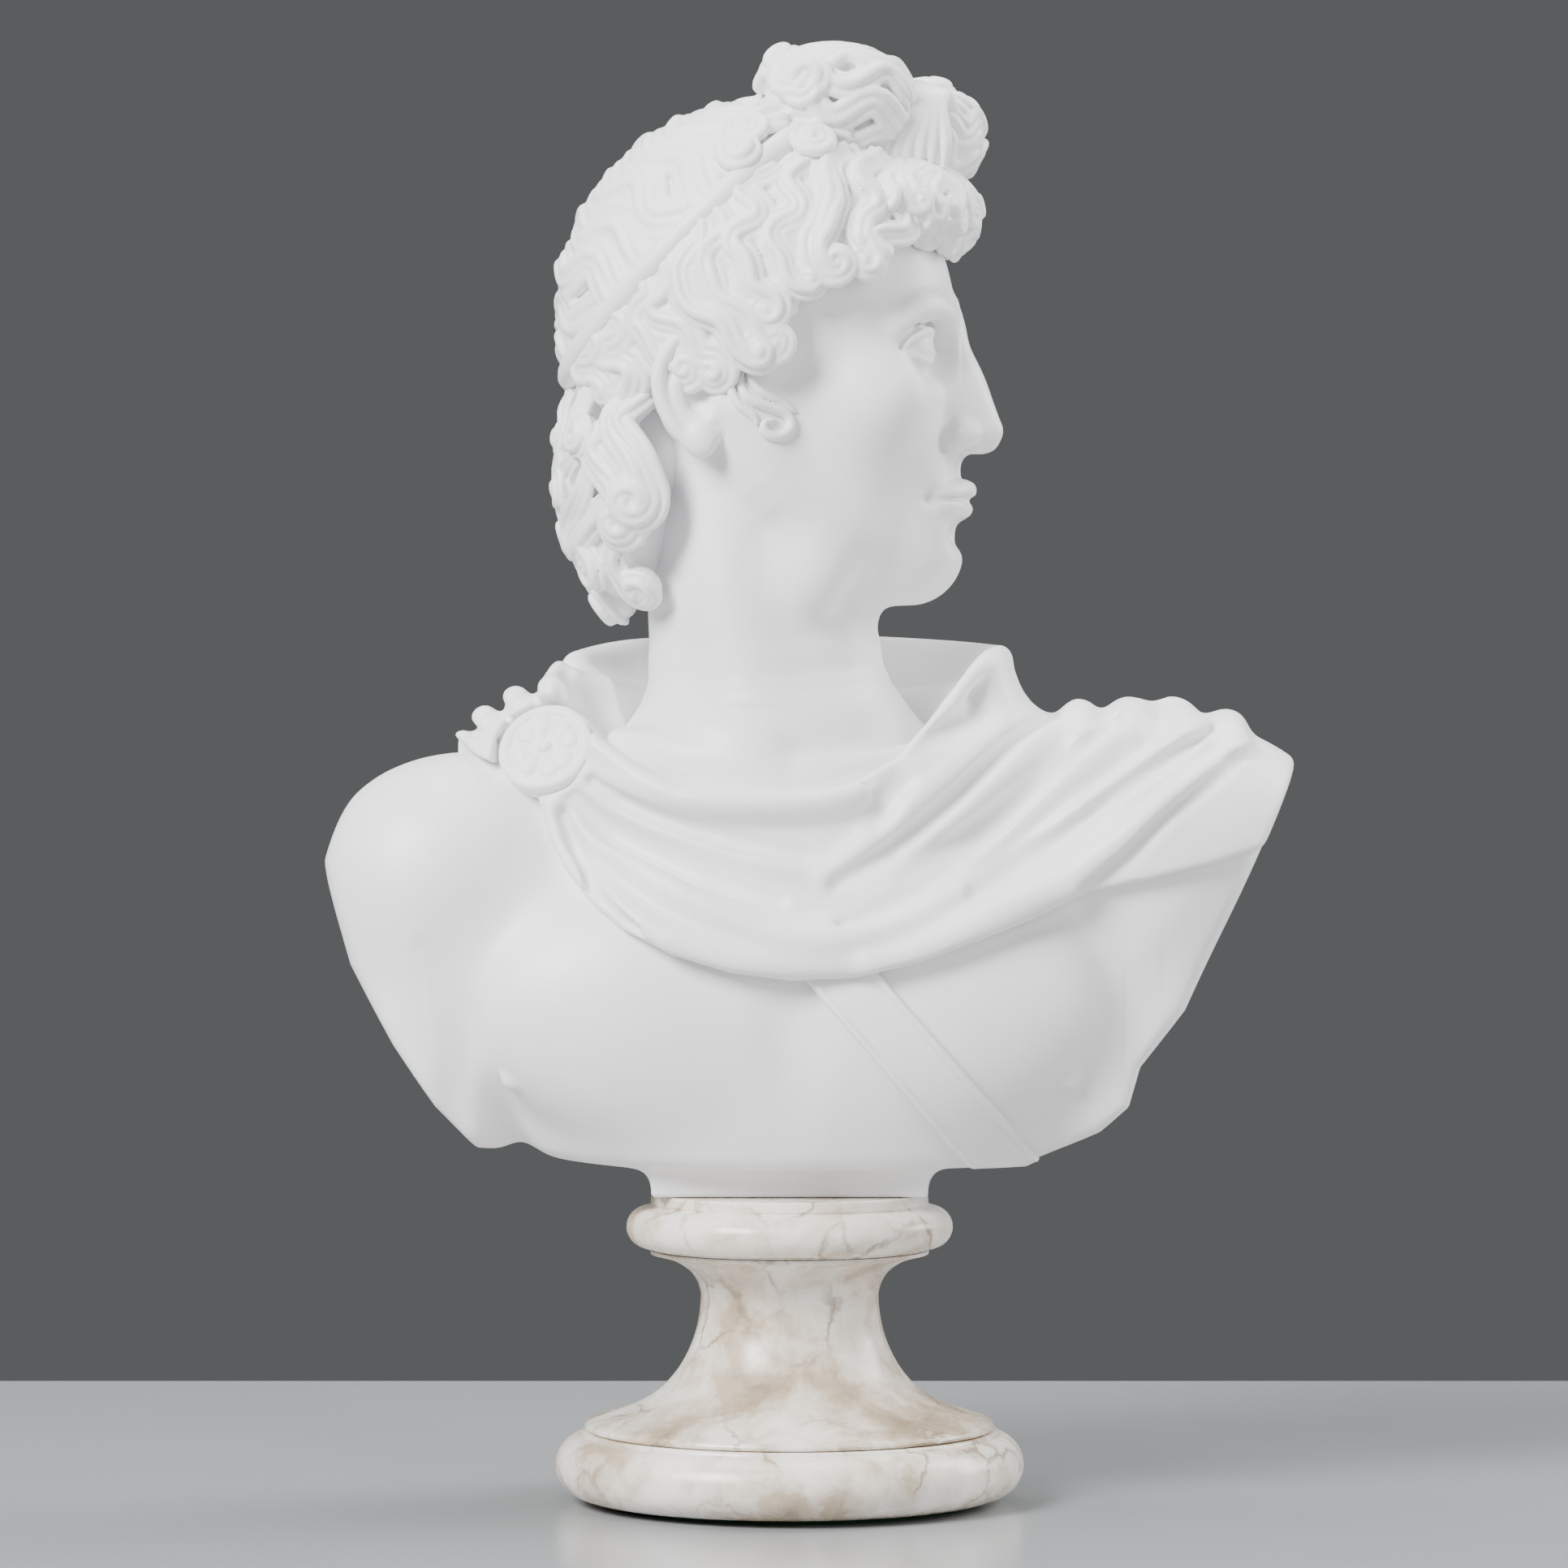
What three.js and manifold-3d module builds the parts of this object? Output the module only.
// A draped marble bust on a turned alabaster socle.
// The torso is one cast shell with an open back, a rear pillar and a mounting block below. The head and
// neck are a second casting, cemented into a socket inside the mantle's neckline. The mantle, brooch,
// sword strap and hair masses are castings of their own, cemented on. A tie rod through the three socle
// stones screws into an insert in the block, and a nut under the base clamps the stack.
// Millimetres, +Z up, the chest faces -Y, origin on the table under the middle of the socle.
import * as THREE from "three";
import { mergeVertices } from "three/addons/utils/BufferGeometryUtils.js";
import Module from "manifold-3d";

const wasm = await Module();
wasm.setup();

// ---- Driving dimensions ----
const CEMENT = 0.3; // the thin bed between any two pieces that are set together
const FAR = 600; // longer than the object, for blocks that only cut

// Socle, from the table up
const FELT_RADIUS = 68;
const FELT_THICK = 1.5;
const BASE_RADIUS = 84;
const BASE_HEIGHT = 24;
const FLARE_RADIUS = 73; // where the flare of the shaft meets the base
const SHAFT_HEIGHT = 64;
const WAIST_RADIUS = 32;
const WAIST_HEIGHT = 43; // above the shaft's own underside
const CAP_HEIGHT = 20;
const CAP_RADIUS = 58.5;
const COLLAR_RADIUS = 50;

// Fixing through the socle
const ROD_RADIUS = 5;
const ROD_CLEARANCE = 0.8; // the drilled stones around the rod
const NUT_ACROSS_FLATS = 17;
const NUT_HEIGHT = 8;
const WASHER_RADIUS = 15;
const WASHER_THICK = 2.5;
const RECESS_CLEARANCE = 4; // room for a socket spanner round the washer
const ROD_TAIL = 1.5; // rod left standing below the nut
const INSERT_RADIUS = 9;
const INSERT_LENGTH = 24;
const DOWEL_RADIUS = 2.5;
const DOWEL_LENGTH = 14;
const DOWEL_OUT = 30; // from the rod, along X

// Mounting block and pillar of the torso casting
const BLOCK_WIDTH = 98;
const BLOCK_DEPTH = 64;
const BLOCK_HEIGHT = 11;
const PILLAR_WIDTH = 52;
const PILLAR_REACH = 36; // its rear face, behind the rod

// Torso, heights above the block's underside
const SPAN_RIGHT = 168; // out to the cut arm on the -X side
const SPAN_LEFT = 182;
const SHOULDER_HEIGHT = 119;
const CHEST_REACH = 60; // how far the chest stands in front of the rod
const BACK_CUT = 40; // the open rear edge, behind the rod
const SHELL_WALL = 17;

// Mantle, brooch and strap
const MANTLE_THICK = 8;
const HEM_HEIGHT = 77; // the lowest point of the mantle's swag
const NECKLINE_WIDTH = 124;
const NECKLINE_DEPTH = 82;
const COLLAR_ROLL = 7; // radius of the rolled edge round the neck
const COLLAR_TILT = 30; // degrees, low at the chest and high behind the neck
const BROOCH_RADIUS = 17;
const BROOCH_THICK = 5;
const STRAP_WIDTH = 20;
const STRAP_THICK = 2;

// Head and hair
const HEAD_HEIGHT = 168; // crown of the skull to the chin
const HEAD_TURN = -8; // degrees about Z from looking along +X
const NECK_RADIUS = 40;
const HAIR_THICK = 9;
const BAND_WIDTH = 8;
const BAND_LIFT = 2; // how far the band stands over the hair
const BAND_SLOPE = 44; // degrees, from the topknot down to the nape
const TOPKNOT_LENGTH = 56;

// Facets
const TURNED_SIDES = 36;
const FORM_SIDES = 16;
const FORM_RINGS = 8;
const SMALL_SIDES = 10;
const SMALL_RINGS = 6;

// ---- Materials ----
const stone = (color, roughness) => new THREE.MeshStandardMaterial({ color, roughness, metalness: 0 });
const metal = (color) => new THREE.MeshStandardMaterial({ color, roughness: 0.4, metalness: 1 });
const castMarble = stone(0xf1f0f2, 0.55);
const alabaster = stone(0xe6dfd2, 0.3);
const steel = metal(0xb9bcc0);
const brass = metal(0xc9a24a);
const greenFelt = stone(0x2f4a3a, 0.95);

// ---- Making and cutting solids ----
function solidOf(geometry) {
  const bare = geometry.index ? geometry.toNonIndexed() : geometry.clone();
  bare.deleteAttribute("normal");
  bare.deleteAttribute("uv");
  const merged = mergeVertices(bare, 1e-3);
  return new wasm.Manifold(
    new wasm.Mesh({
      numProp: 3,
      vertProperties: merged.attributes.position.array,
      triVerts: new Uint32Array(merged.index.array),
    }),
  );
}

function geometryOf(solid) {
  const mesh = solid.getMesh();
  const geometry = new THREE.BufferGeometry();
  geometry.setAttribute("position", new THREE.BufferAttribute(new Float32Array(mesh.vertProperties), 3));
  geometry.setIndex(new THREE.BufferAttribute(new Uint32Array(mesh.triVerts), 1));
  geometry.computeVertexNormals();
  return geometry;
}

const joined = (solids) => solids.reduce((all, one) => all.add(one));

function named(name, geometry, material, position = [0, 0, 0]) {
  const mesh = new THREE.Mesh(geometry, material);
  mesh.name = name;
  mesh.position.set(...position);
  return mesh;
}

// A closed outline of [radius, height] points turned about Z.
function turned(outline) {
  const profile = outline.map(([radius, height]) => new THREE.Vector2(radius, height));
  profile.push(profile[0].clone());
  return new THREE.LatheGeometry(profile, TURNED_SIDES).rotateX(Math.PI / 2);
}

// Points of a round moulding: a quarter or half of an ellipse, from one angle to another in degrees.
function moulding(centreRadius, centreHeight, across, up, from, to, steps = 6) {
  return Array.from({ length: steps + 1 }, (_, i) => {
    const angle = THREE.MathUtils.degToRad(from + ((to - from) * i) / steps);
    return [centreRadius + across * Math.cos(angle), centreHeight + up * Math.sin(angle)];
  });
}

// An egg-shaped form with three radii, each grown by the same amount.
function egg([x, y, z], [rx, ry, rz], grow = 0, small = false) {
  const sides = small ? SMALL_SIDES : FORM_SIDES;
  const rings = small ? SMALL_RINGS : FORM_RINGS;
  return new THREE.SphereGeometry(1, sides, rings)
    .rotateX(Math.PI / 2)
    .scale(rx + grow, ry + grow, rz + grow)
    .translate(x, y, z);
}

// A front-view outline, as a smooth closed shape or a straight-sided one, carried through the depth.
function prism(points, front = -FAR / 2, back = FAR / 2) {
  const shape = new THREE.Shape(points.map(([x, z]) => new THREE.Vector2(x, z)));
  return solidOf(
    new THREE.ExtrudeGeometry(shape, { depth: back - front, bevelEnabled: false })
      .rotateX(Math.PI / 2)
      .translate(0, back, 0),
  );
}

function smoothed(points, steps) {
  const curve = new THREE.SplineCurve(points.map(([x, z]) => new THREE.Vector2(x, z)));
  return curve.getPoints(steps).map((p) => [p.x, p.y]);
}

function box(width, depth, height, [x, y, z]) {
  return solidOf(new THREE.BoxGeometry(width, depth, height).translate(x, y, z + height / 2));
}

// ---- Heights of the stack ----
const baseHeight = FELT_THICK + CEMENT;
const shaftHeight = baseHeight + BASE_HEIGHT + CEMENT;
const capHeight = shaftHeight + SHAFT_HEIGHT + CEMENT;
const bustHeight = capHeight + CAP_HEIGHT + CEMENT;

// ---- Socle: three turned alabaster stones, drilled for the rod ----
const boreRadius = ROD_RADIUS + ROD_CLEARANCE;
const recessRadius = WASHER_RADIUS + RECESS_CLEARANCE;
const recessDepth = WASHER_THICK + NUT_HEIGHT + ROD_TAIL + 4 * CEMENT;

function socleBase() {
  const lip = 3; // the flat step that the shaft's flare stands on
  const rollHalf = BASE_HEIGHT / 2;
  return turned([
    [recessRadius, 0],
    ...moulding(BASE_RADIUS - rollHalf, rollHalf, rollHalf, rollHalf, -90, 66, 8),
    [FLARE_RADIUS + lip, BASE_HEIGHT],
    [boreRadius, BASE_HEIGHT],
    [boreRadius, recessDepth],
    [recessRadius, recessDepth],
  ]);
}

function socleShaft() {
  const edge = 4; // the upright rim of the flare
  const flare = new THREE.CubicBezierCurve(
    new THREE.Vector2(FLARE_RADIUS, edge),
    new THREE.Vector2(WAIST_RADIUS + 15, edge + 8),
    new THREE.Vector2(WAIST_RADIUS + 1, WAIST_HEIGHT - 18),
    new THREE.Vector2(WAIST_RADIUS, WAIST_HEIGHT),
  );
  const throat = new THREE.CubicBezierCurve(
    new THREE.Vector2(WAIST_RADIUS, WAIST_HEIGHT),
    new THREE.Vector2(WAIST_RADIUS, SHAFT_HEIGHT - 8),
    new THREE.Vector2(WAIST_RADIUS + 4, SHAFT_HEIGHT - 2),
    new THREE.Vector2(COLLAR_RADIUS - 3, SHAFT_HEIGHT),
  );
  const outside = [...flare.getPoints(8), ...throat.getPoints(5).slice(1)].map((p) => [p.x, p.y]);
  return turned([[boreRadius, 0], [FLARE_RADIUS, 0], ...outside, [boreRadius, SHAFT_HEIGHT]]);
}

function socleCap() {
  const filletHeight = 3;
  const rollHalf = 6.8;
  const stone = turned([
    [boreRadius, 0],
    [COLLAR_RADIUS, 0],
    [COLLAR_RADIUS, filletHeight],
    ...moulding(CAP_RADIUS - rollHalf, filletHeight + rollHalf, rollHalf, rollHalf, -80, 80, 6),
    [COLLAR_RADIUS, filletHeight + 2 * rollHalf],
    [COLLAR_RADIUS, CAP_HEIGHT],
    [boreRadius, CAP_HEIGHT],
  ]);
  return solidOf(stone).subtract(dowelBores(CAP_HEIGHT + CEMENT / 2));
}

// ---- Fixing: rod, nut, washer, insert, dowels and felt ----
const washerHeight = baseHeight + recessDepth - CEMENT - WASHER_THICK;
const nutHeight = washerHeight - CEMENT - NUT_HEIGHT;
const rodFoot = nutHeight - ROD_TAIL;
const rodTop = bustHeight + INSERT_LENGTH - 2;
const tapRadius = ROD_RADIUS + CEMENT; // of the nut and the insert, clear of the rod's thread

function roundBar(radius, length) {
  return new THREE.CylinderGeometry(radius, radius, length, TURNED_SIDES / 2)
    .rotateX(Math.PI / 2)
    .translate(0, 0, length / 2);
}

function ring(outer, inner, height) {
  return turned([[inner, 0], [outer, 0], [outer, height], [inner, height]]);
}

function hexNut() {
  const corner = NUT_ACROSS_FLATS / Math.sqrt(3);
  const origin = new THREE.Vector2();
  const shape = new THREE.Shape(
    Array.from({ length: 6 }, (_, i) => new THREE.Vector2(corner, 0).rotateAround(origin, (i * Math.PI) / 3)),
  );
  shape.holes.push(new THREE.Path().absarc(0, 0, tapRadius, 0, 2 * Math.PI, true));
  return new THREE.ExtrudeGeometry(shape, { depth: NUT_HEIGHT, bevelEnabled: false, curveSegments: 12 });
}

// ---- Torso casting ----
const chestCentre = 0.6 * SHOULDER_HEIGHT;

// The rounded forms of the chest, shoulders and upper back, grown by a gap or by the mantle's thickness.
function bodyForms(grow) {
  const forms = [
    [[0, 0, chestCentre], [0.66 * SPAN_RIGHT, CHEST_REACH, 0.72 * SHOULDER_HEIGHT]],
    [[-0.3 * SPAN_RIGHT, -0.55 * CHEST_REACH, 0.78 * SHOULDER_HEIGHT], [48, 0.47 * CHEST_REACH, 36]],
    [[0.28 * SPAN_LEFT, -0.55 * CHEST_REACH, 0.78 * SHOULDER_HEIGHT], [48, 0.47 * CHEST_REACH, 36]],
    [[46 - SPAN_RIGHT, 4, SHOULDER_HEIGHT - 6], [46, 42, 50]],
    [[38 - SPAN_RIGHT, 2, 0.66 * SHOULDER_HEIGHT], [34, 35, 66]],
    [[SPAN_LEFT - 54, 4, SHOULDER_HEIGHT + 6], [66, 42, 44]],
    [[SPAN_LEFT - 50, 2, 0.62 * SHOULDER_HEIGHT], [44, 36, 62]],
    [[0, 12, SHOULDER_HEIGHT + 22], [0.66 * SPAN_LEFT, 34, 26]],
  ];
  return joined(forms.map(([centre, radii]) => solidOf(egg(centre, radii, grow))));
}

// The bust's lower edge seen from the front: the cut arms, the hollows beside the chest, the flat bottom.
function bustOutline() {
  const edge = smoothed(
    [
      [-SPAN_RIGHT, SHOULDER_HEIGHT],
      [-0.93 * SPAN_RIGHT, 0.7 * SHOULDER_HEIGHT],
      [-0.75 * SPAN_RIGHT, 0.29 * SHOULDER_HEIGHT],
      [-0.62 * SPAN_RIGHT, BLOCK_HEIGHT + 6],
      [-0.35 * SPAN_RIGHT, BLOCK_HEIGHT],
      [0, BLOCK_HEIGHT],
      [0.45 * SPAN_LEFT, BLOCK_HEIGHT],
      [0.61 * SPAN_LEFT, BLOCK_HEIGHT + 12],
      [0.72 * SPAN_LEFT, 0.52 * SHOULDER_HEIGHT],
      [SPAN_LEFT, 1.25 * SHOULDER_HEIGHT],
    ],
    26,
  );
  return prism([...edge, [SPAN_LEFT, FAR], [-SPAN_RIGHT, FAR]]);
}

// The bib of the head casting: the bare skin inside the neckline, rounded below to sit in a bowl.
const neckline = [0, 3, SHOULDER_HEIGHT + 46];

function bib(grow) {
  return solidOf(egg(neckline, [0.58 * NECKLINE_WIDTH, 0.61 * NECKLINE_DEPTH, 48], grow));
}

const backOpening = SHOULDER_HEIGHT - 2; // the shell is open behind up to this height

function torso() {
  const behind = box(FAR, FAR, FAR, [0, BACK_CUT + FAR / 2, backOpening - FAR]);
  const hollowCentre = (backOpening + BLOCK_HEIGHT) / 2;
  const hollowRadii = [0.62 * SPAN_RIGHT, CHEST_REACH + BACK_CUT - SHELL_WALL, backOpening - hollowCentre];
  const hollow = solidOf(egg([0, BACK_CUT, hollowCentre + 3], hollowRadii));
  const pillar = box(PILLAR_WIDTH, PILLAR_REACH, backOpening, [0, PILLAR_REACH / 2, 0]);
  const chestRoot = box(PILLAR_WIDTH, CHEST_REACH - SHELL_WALL, backOpening / 2, [0, -BLOCK_DEPTH / 4, 0]);
  const block = box(BLOCK_WIDTH, BLOCK_DEPTH, BLOCK_HEIGHT + 2, [0, PILLAR_REACH - BLOCK_DEPTH / 2, 0]);
  const insertBore = solidOf(roundBar(INSERT_RADIUS + CEMENT, INSERT_LENGTH + 2 * CEMENT));
  return bodyForms(0)
    .intersect(bustOutline())
    .subtract(behind)
    .subtract(hollow)
    .add(pillar)
    .add(chestRoot)
    .add(block)
    .subtract(bib(CEMENT))
    .subtract(neck(CEMENT))
    .subtract(insertBore)
    .subtract(dowelBores(-CEMENT / 2));
}

// Where a point of the front view lies on the body, pushed out by a distance.
const bodySkin = geometryOf(bodyForms(0)).toNonIndexed().attributes.position;

function onBody(x, z, out) {
  const ray = new THREE.Ray(new THREE.Vector3(x, -FAR, z), new THREE.Vector3(0, 1, 0));
  const hit = new THREE.Vector3();
  let front = FAR;
  for (let i = 0; i < bodySkin.count; i += 3) {
    const corners = [0, 1, 2].map((j) => new THREE.Vector3().fromBufferAttribute(bodySkin, i + j));
    if (ray.intersectTriangle(...corners, false, hit)) {
      front = Math.min(front, hit.y);
    }
  }
  return new THREE.Vector3(x, Math.min(front, 0) - out, z);
}

// ---- Mantle, brooch and strap ----
const shoulderPin = { x: -0.5 * SPAN_RIGHT, z: SHOULDER_HEIGHT + 36 }; // where the brooch holds the folds
const mantleEdge = shoulderPin.x - BROOCH_RADIUS - 9; // the cloth's end, past the brooch

// The cloth seen from the front: everything above its swagged hem, out to the cut left shoulder.
function mantleFront() {
  const hem = smoothed(
    [
      [mantleEdge, SHOULDER_HEIGHT + 30],
      [shoulderPin.x - 6, SHOULDER_HEIGHT + 18],
      [-0.3 * SPAN_RIGHT, HEM_HEIGHT + 16],
      [0, HEM_HEIGHT],
      [0.36 * SPAN_LEFT, HEM_HEIGHT + 14],
      [0.62 * SPAN_LEFT, HEM_HEIGHT + 30],
      [SPAN_LEFT, HEM_HEIGHT + 48],
    ],
    20,
  );
  return prism([...hem, [SPAN_LEFT, FAR], [mantleEdge, FAR]], -FAR / 2, 0);
}

function mantleBack() {
  const middle = (SPAN_LEFT + mantleEdge) / 2;
  return box(SPAN_LEFT - mantleEdge, FAR / 2, FAR, [middle, FAR / 4, backOpening]);
}

// The plane of the neckline, low at the chest and high behind the neck.
const collarTilt = THREE.MathUtils.degToRad(COLLAR_TILT);
const collarHeight = neckline[2] + 8;

function neckHole(grow) {
  return solidOf(
    new THREE.CylinderGeometry(1, 1, FAR, TURNED_SIDES)
      .rotateX(Math.PI / 2)
      .scale(NECKLINE_WIDTH / 2 + grow, NECKLINE_DEPTH / 2 + grow, 1)
      .translate(neckline[0], neckline[1], 0),
  );
}

function collar() {
  const below = new THREE.BoxGeometry(FAR, FAR, FAR)
    .translate(0, 0, -FAR / 2)
    .rotateX(collarTilt)
    .translate(0, neckline[1], collarHeight);
  const wall = neckHole(COLLAR_ROLL / 2)
    .subtract(neckHole(-COLLAR_ROLL / 2))
    .intersect(solidOf(below))
    .intersect(box(FAR, FAR, FAR, [0, 0, SHOULDER_HEIGHT]));
  const roll = new THREE.TorusGeometry(1, COLLAR_ROLL / (NECKLINE_WIDTH / 2), 8, TURNED_SIDES);
  roll.scale(NECKLINE_WIDTH / 2, NECKLINE_DEPTH / 2 / Math.cos(collarTilt), NECKLINE_WIDTH / 2);
  roll.rotateX(collarTilt).translate(neckline[0], neckline[1], collarHeight);
  return wall.add(solidOf(roll));
}

// A soft ridge of cloth along a run of front-view points.
function fold(points, radius) {
  const path = new THREE.CatmullRomCurve3(points.map(([x, z]) => onBody(x, z, 0.7 * MANTLE_THICK)));
  const section = new THREE.Shape().absarc(0, 0, radius, 0, 2 * Math.PI);
  return solidOf(
    new THREE.ExtrudeGeometry(section, {
      extrudePath: path,
      steps: 2 * (points.length - 1),
      curveSegments: 3,
      bevelEnabled: false,
    }),
  );
}

function mantleFolds() {
  const start = shoulderPin.x - 6;
  const lift = [0, 14, 30, 46];
  return lift.map((rise, i) =>
    fold(
      [
        [start, shoulderPin.z - 20 + 4 * i],
        [-0.26 * SPAN_RIGHT, HEM_HEIGHT + 20 + 0.8 * rise],
        [0, HEM_HEIGHT + 6 + rise],
        [0.34 * SPAN_LEFT, HEM_HEIGHT + 20 + 1.1 * rise],
        [0.58 * SPAN_LEFT, SHOULDER_HEIGHT + 2 + rise],
        [(0.86 - 0.11 * i) * SPAN_LEFT, SHOULDER_HEIGHT + 22 + 0.35 * rise],
      ],
      0.8 * MANTLE_THICK,
    ),
  );
}

// The cloth bunched under the brooch, where the folds meet the collar.
function gatheredCloth() {
  const middle = onBody(shoulderPin.x + 10, shoulderPin.z - 19, 0.1 * MANTLE_THICK);
  const radii = [BROOCH_RADIUS + 5, 2.6 * MANTLE_THICK, BROOCH_RADIUS + 1];
  return solidOf(egg(middle.toArray(), radii));
}

function mantle() {
  return bodyForms(CEMENT + MANTLE_THICK)
    .intersect(mantleFront().add(mantleBack()))
    .subtract(neckHole(0))
    .add(joined(mantleFolds()))
    .add(gatheredCloth())
    .add(collar())
    .add(broochBoss())
    .intersect(bustOutline())
    .subtract(bodyForms(CEMENT))
    .subtract(neck(2 * CEMENT))
    .subtract(strapBand(2 * CEMENT + STRAP_THICK, CEMENT))
    .subtract(broochSeat());
}

// The sword strap lies on the chest, from under the hem down to the bust's lower edge.
function strapBand(out, side) {
  const top = new THREE.Vector2(0.1 * SPAN_LEFT - 8, HEM_HEIGHT + 12);
  const foot = new THREE.Vector2(0.45 * SPAN_LEFT, 0);
  const half = foot
    .clone()
    .sub(top)
    .normalize()
    .rotateAround(new THREE.Vector2(), Math.PI / 2)
    .multiplyScalar(STRAP_WIDTH / 2 + side);
  const end = top.clone().sub(foot).setLength(side).add(top);
  const corners = [
    end.clone().add(half),
    foot.clone().add(half),
    foot.clone().sub(half),
    end.clone().sub(half),
  ];
  return bodyForms(out).intersect(prism(corners.map((p) => [p.x, p.y]), -FAR / 2, 0));
}

function strap() {
  const belowEdge = box(FAR, FAR, BLOCK_HEIGHT + FAR, [0, 0, -FAR]);
  return strapBand(CEMENT + STRAP_THICK, 0).subtract(bodyForms(CEMENT)).subtract(belowEdge);
}

// The brooch faces out of the shoulder; its own frame has its back at z = 0 and its face along +Z.
const broochFacing = new THREE.Vector3(-0.3, -0.87, 0.39).normalize();
const broochTurn = new THREE.Quaternion().setFromUnitVectors(new THREE.Vector3(0, 0, 1), broochFacing);

const broochLift = 0.98 * BROOCH_RADIUS; // clear of the shoulder all round its back
const broochPlace = onBody(shoulderPin.x, shoulderPin.z, 0).addScaledVector(broochFacing, broochLift);

// A round bar along the brooch's axis, between two heights above its back.
function alongBrooch(radius, from, to) {
  const bar = roundBar(radius, to - from).translate(0, 0, from).applyQuaternion(broochTurn);
  return solidOf(bar.translate(...broochPlace.toArray()));
}

// The gathered cloth under the brooch, faced flat to take it.
const broochBoss = () => alongBrooch(BROOCH_RADIUS + 3, -3 * MANTLE_THICK, -CEMENT);
const broochSeat = () => alongBrooch(BROOCH_RADIUS + 4, -CEMENT, 4 * BROOCH_THICK);

function brooch() {
  const rim = 3;
  const petals = 5;
  const petalReach = 0.52 * (BROOCH_RADIUS - rim);
  const floor = 0.5 * BROOCH_THICK;
  const dish = turned([
    [0, 0],
    [BROOCH_RADIUS, 0],
    [BROOCH_RADIUS, 0.7 * BROOCH_THICK],
    [BROOCH_RADIUS - rim / 2, BROOCH_THICK],
    [BROOCH_RADIUS - rim, floor],
    [0, floor],
  ]);
  const petalSize = [0.3 * BROOCH_RADIUS, 0.26 * BROOCH_RADIUS, floor];
  const petal = egg([petalReach, 0, floor], petalSize, 0, true);
  const buttonSize = [0.2 * BROOCH_RADIUS, 0.24 * BROOCH_RADIUS, floor];
  const button = egg([0, 0, 1.4 * floor], buttonSize, 0, true);
  const ringOfPetals = Array.from({ length: petals }, (_, i) =>
    solidOf(petal.clone().rotateZ((2 * Math.PI * i) / petals)),
  );
  return joined([solidOf(dish), ...ringOfPetals, solidOf(button)]);
}

// ---- Head casting, in a frame centred on the braincase, looking along +X ----
const headPlace = [-7, 0, SHOULDER_HEIGHT + 30 + 0.99 * HEAD_HEIGHT];
const headTurn = THREE.MathUtils.degToRad(HEAD_TURN);
const braincase = [0.41 * HEAD_HEIGHT, 0.325 * HEAD_HEIGHT, 0.41 * HEAD_HEIGHT];

// A point or size of the head as a share of its height.
const ofHead = (shares) => shares.map((share) => share * HEAD_HEIGHT);

function onHead(geometry) {
  return solidOf(geometry.rotateZ(headTurn).translate(...headPlace));
}

function headForms(grow) {
  const forms = [
    [[0, 0, 0], [0.41, 0.325, 0.41], false],
    [[0.13, 0, -0.25], [0.25, 0.235, 0.34], false],
    [[0.3, 0, -0.05], [0.1, 0.19, 0.12], true],
    [[0.36, 0, -0.2], [0.075, 0.045, 0.115], true],
    [[0.32, 0, -0.37], [0.055, 0.085, 0.05], true],
    [[0.26, 0, -0.5], [0.09, 0.09, 0.085], true],
  ];
  for (const side of [-1, 1]) {
    forms.push([[-0.02, side * 0.31, -0.17], [0.055, 0.035, 0.1], true]);
    forms.push([[0.325, side * 0.095, -0.135], [0.04, 0.05, 0.035], true]);
  }
  return joined(
    forms.map(([centre, radii, small]) => onHead(egg(ofHead(centre), ofHead(radii), grow, small))),
  );
}

function neck(grow) {
  const foot = SHOULDER_HEIGHT + 10;
  const height = headPlace[2] - 0.2 * HEAD_HEIGHT - foot;
  return solidOf(
    new THREE.CylinderGeometry(NECK_RADIUS + grow, NECK_RADIUS + 6 + grow, height + grow, TURNED_SIDES)
      .rotateX(Math.PI / 2)
      .translate(-8, 4, foot + (height - grow) / 2),
  );
}

function head() {
  const skin = bodyForms(0).intersect(bib(0));
  return headForms(0).add(neck(0)).add(skin);
}

// ---- Hair, cemented on over the head in separately cast masses ----
const bandSlope = THREE.MathUtils.degToRad(BAND_SLOPE);

// The half of the head behind the band's plane, or in front of it, kept clear by half the band.
function beyondBand(side, clearance) {
  return onHead(
    new THREE.BoxGeometry(FAR, FAR, FAR)
      .translate(0, 0, side * (FAR / 2 + BAND_WIDTH / 2 + clearance))
      .rotateY(-bandSlope)
      .translate(...ofHead([-0.1, 0, 0.175])),
  );
}

function hairOver(lift) {
  return onHead(egg([0, 0, 0], braincase, HAIR_THICK + lift)).subtract(headForms(CEMENT));
}

function crownHair() {
  return hairOver(0).intersect(beyondBand(1, CEMENT));
}

function hairBand() {
  const slab = beyondBand(-1, -BAND_WIDTH).subtract(beyondBand(-1, 0));
  return hairOver(BAND_LIFT).intersect(slab);
}

// Seen from the side, the hair before the band lies between the hairline and the ear.
function aboveHairline(drop) {
  const hairline = [[0.5, 0.2], [0.36, 0.17], [0.12, 0.03], [0.03, -0.1], [-0.16, -0.13], [-0.5, -0.1]];
  const shares = [...hairline, [-0.5, 0.6], [0.5, 0.6]];
  const outline = shares.map((share) => new THREE.Vector2(...ofHead(share)));
  return onHead(
    new THREE.ExtrudeGeometry(new THREE.Shape(outline), { depth: HEAD_HEIGHT, bevelEnabled: false })
      .rotateX(Math.PI / 2)
      .translate(0, HEAD_HEIGHT / 2, -drop),
  );
}

function frontHair() {
  return hairOver(0).intersect(beyondBand(-1, CEMENT)).intersect(aboveHairline(0));
}

const fringeHalf = 0.11; // half the fringe's width, as a share of the head

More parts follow.
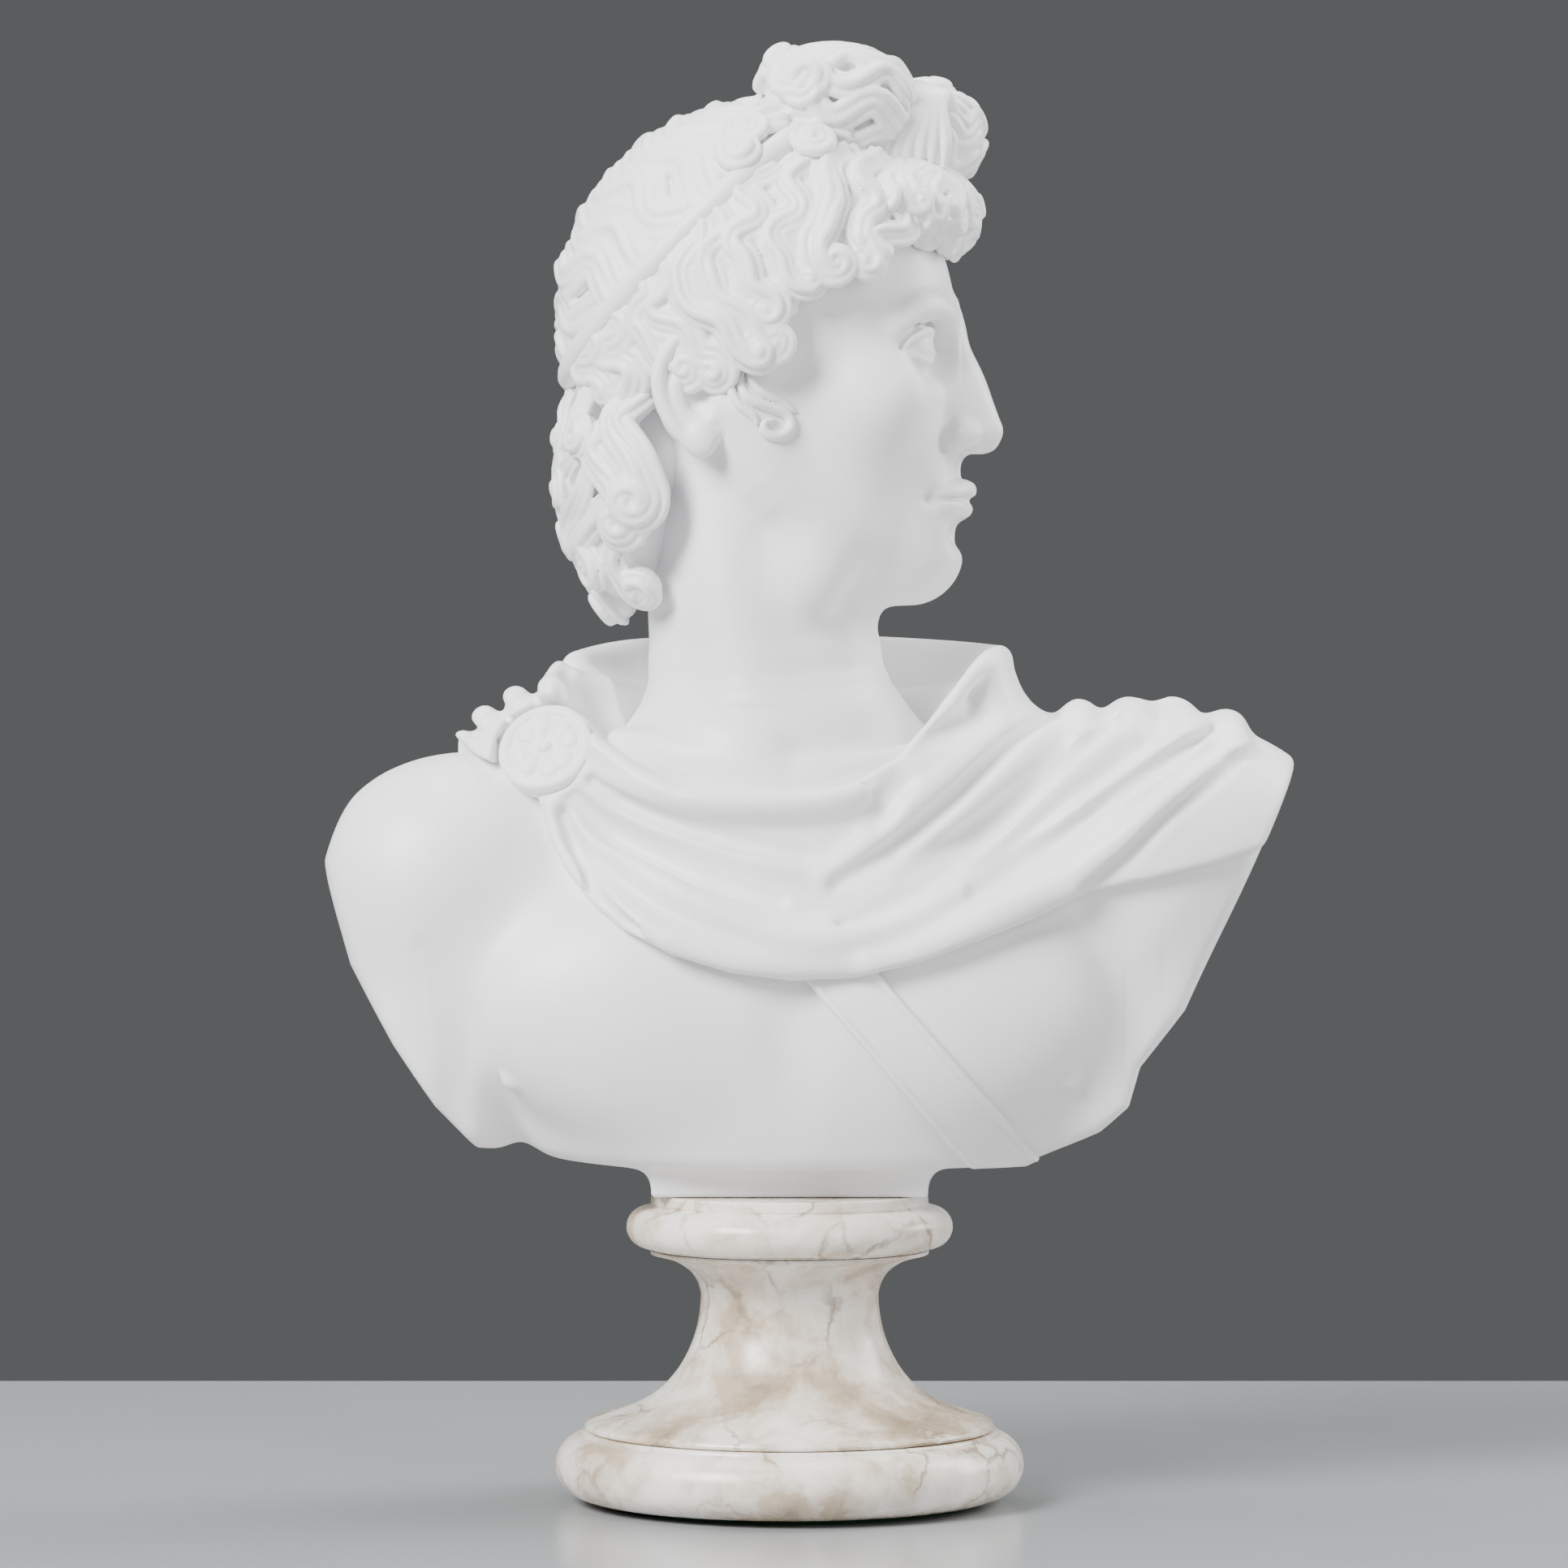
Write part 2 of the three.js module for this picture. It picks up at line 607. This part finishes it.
function frontSlice(from, to) {
  const width = (to - from) * HEAD_HEIGHT - CEMENT;
  const middle = ((from + to) / 2) * HEAD_HEIGHT;
  return onHead(new THREE.BoxGeometry(FAR, width, FAR).translate(0, middle, 0));
}

function sideHair(side) {
  const far = side > 0 ? [fringeHalf, 0.6] : [-0.6, -fringeHalf];
  return frontHair().intersect(frontSlice(...far));
}

function fringe() {
  return frontHair().intersect(frontSlice(-fringeHalf, fringeHalf));
}

// The bow of hair on top: a lobe to each side, ending in a curl, and a folded tie between them.
const bowPlace = [0.2, 0, 0.44];
const tieHalf = 0.05;

function topknotLobe(side) {
  const [x, , z] = bowPlace;
  const reach = TOPKNOT_LENGTH / 2;
  const lobe = onHead(egg([x * HEAD_HEIGHT, side * reach, z * HEAD_HEIGHT], [0.17 * HEAD_HEIGHT, reach, 19]));
  const curlPlace = [x * HEAD_HEIGHT - 6, side * 1.45 * reach, z * HEAD_HEIGHT + 2];
  return lobe.add(onHead(egg(curlPlace, [15, 12, 15], 0, true)));
}

// Everything that lies on the dressed hair is cut to its outer face.
const dressedHair = onHead(egg([0, 0, 0], braincase, HAIR_THICK + BAND_LIFT + CEMENT));

function tieForm(grow) {
  const [x, , z] = bowPlace;
  return onHead(
    egg([x * HEAD_HEIGHT + 3, 0, z * HEAD_HEIGHT - 1], [0.18 * HEAD_HEIGHT, tieHalf * HEAD_HEIGHT, 20], grow),
  );
}

function topknot(side) {
  return topknotLobe(side).subtract(tieForm(CEMENT)).subtract(dressedHair);
}

const topknotTie = () => tieForm(0).subtract(dressedHair);

// Loose curls below the band, over the back of the neck.
function napeCurls() {
  const curls = [];
  for (const side of [-1, 1]) {
    curls.push([[-0.36, side * 0.1, -0.18], [0.09, 0.12, 0.1]]);
    curls.push([[-0.3, side * 0.2, -0.34], [0.11, 0.09, 0.13]]);
    curls.push([[-0.35, side * 0.09, -0.42], [0.12, 0.12, 0.15]]);
    curls.push([[-0.28, side * 0.1, -0.57], [0.1, 0.12, 0.09]]);
  }
  return joined(curls.map(([centre, radii]) => onHead(egg(ofHead(centre), ofHead(radii), 0, true))))
    .subtract(dressedHair)
    .subtract(headForms(CEMENT))
    .subtract(neck(CEMENT));
}

function templeCurl(side) {
  const curls = [
    [[0.015, side * 0.3, -0.15], [0.04, 0.045, 0.07]],
    [[0.045, side * 0.29, -0.22], [0.05, 0.04, 0.05]],
  ];
  return joined(curls.map(([centre, radii]) => onHead(egg(ofHead(centre), ofHead(radii), 0, true))))
    .subtract(headForms(CEMENT))
    .subtract(neck(CEMENT))
    .subtract(aboveHairline(CEMENT));
}

// ---- Dowels between the cap stone and the block, half in each ----
const dowelSides = [-1, 1];

function dowelBores(seam) {
  const bore = roundBar(DOWEL_RADIUS + CEMENT, DOWEL_LENGTH + 2 * CEMENT);
  return joined(
    dowelSides.map((side) =>
      solidOf(bore.clone().translate(side * DOWEL_OUT, 0, seam - DOWEL_LENGTH / 2 - CEMENT)),
    ),
  );
}

// ---- Assembly ----
const bust = new THREE.Group();
bust.add(
  named("felt_disc", roundBar(FELT_RADIUS, FELT_THICK), greenFelt),
  named("socle_base", socleBase(), alabaster, [0, 0, baseHeight]),
  named("socle_shaft", socleShaft(), alabaster, [0, 0, shaftHeight]),
  named("socle_cap", geometryOf(socleCap()), alabaster, [0, 0, capHeight]),
  named("tie_rod", roundBar(ROD_RADIUS, rodTop - rodFoot), steel, [0, 0, rodFoot]),
  named("base_nut", hexNut(), steel, [0, 0, nutHeight]),
  named("base_washer", ring(WASHER_RADIUS, tapRadius, WASHER_THICK), steel, [0, 0, washerHeight]),
  named("threaded_insert", ring(INSERT_RADIUS, tapRadius, INSERT_LENGTH), brass, [0, 0, bustHeight + CEMENT]),
);
for (const side of dowelSides) {
  const name = side < 0 ? "locating_dowel_right" : "locating_dowel_left";
  const foot = bustHeight - CEMENT / 2 - DOWEL_LENGTH / 2;
  bust.add(named(name, roundBar(DOWEL_RADIUS, DOWEL_LENGTH), steel, [side * DOWEL_OUT, 0, foot]));
}

const casting = new THREE.Group();
casting.position.z = bustHeight;
bust.add(casting);
const castings = {
  torso: torso(),
  mantle: mantle(),
  sword_strap: strap(),
  head: head(),
  crown_hair: crownHair(),
  hair_band: hairBand(),
  side_hair_right: sideHair(-1),
  side_hair_left: sideHair(1),
  fringe: fringe(),
  topknot_right: topknot(-1),
  topknot_left: topknot(1),
  topknot_tie: topknotTie(),
  nape_curls: napeCurls(),
  temple_curl_right: templeCurl(-1),
  temple_curl_left: templeCurl(1),
};
for (const [name, solid] of Object.entries(castings)) {
  casting.add(named(name, geometryOf(solid), castMarble));
}

const pin = named("brooch", geometryOf(brooch()), castMarble, broochPlace.toArray());
pin.quaternion.copy(broochTurn);
casting.add(pin);

export default bust;
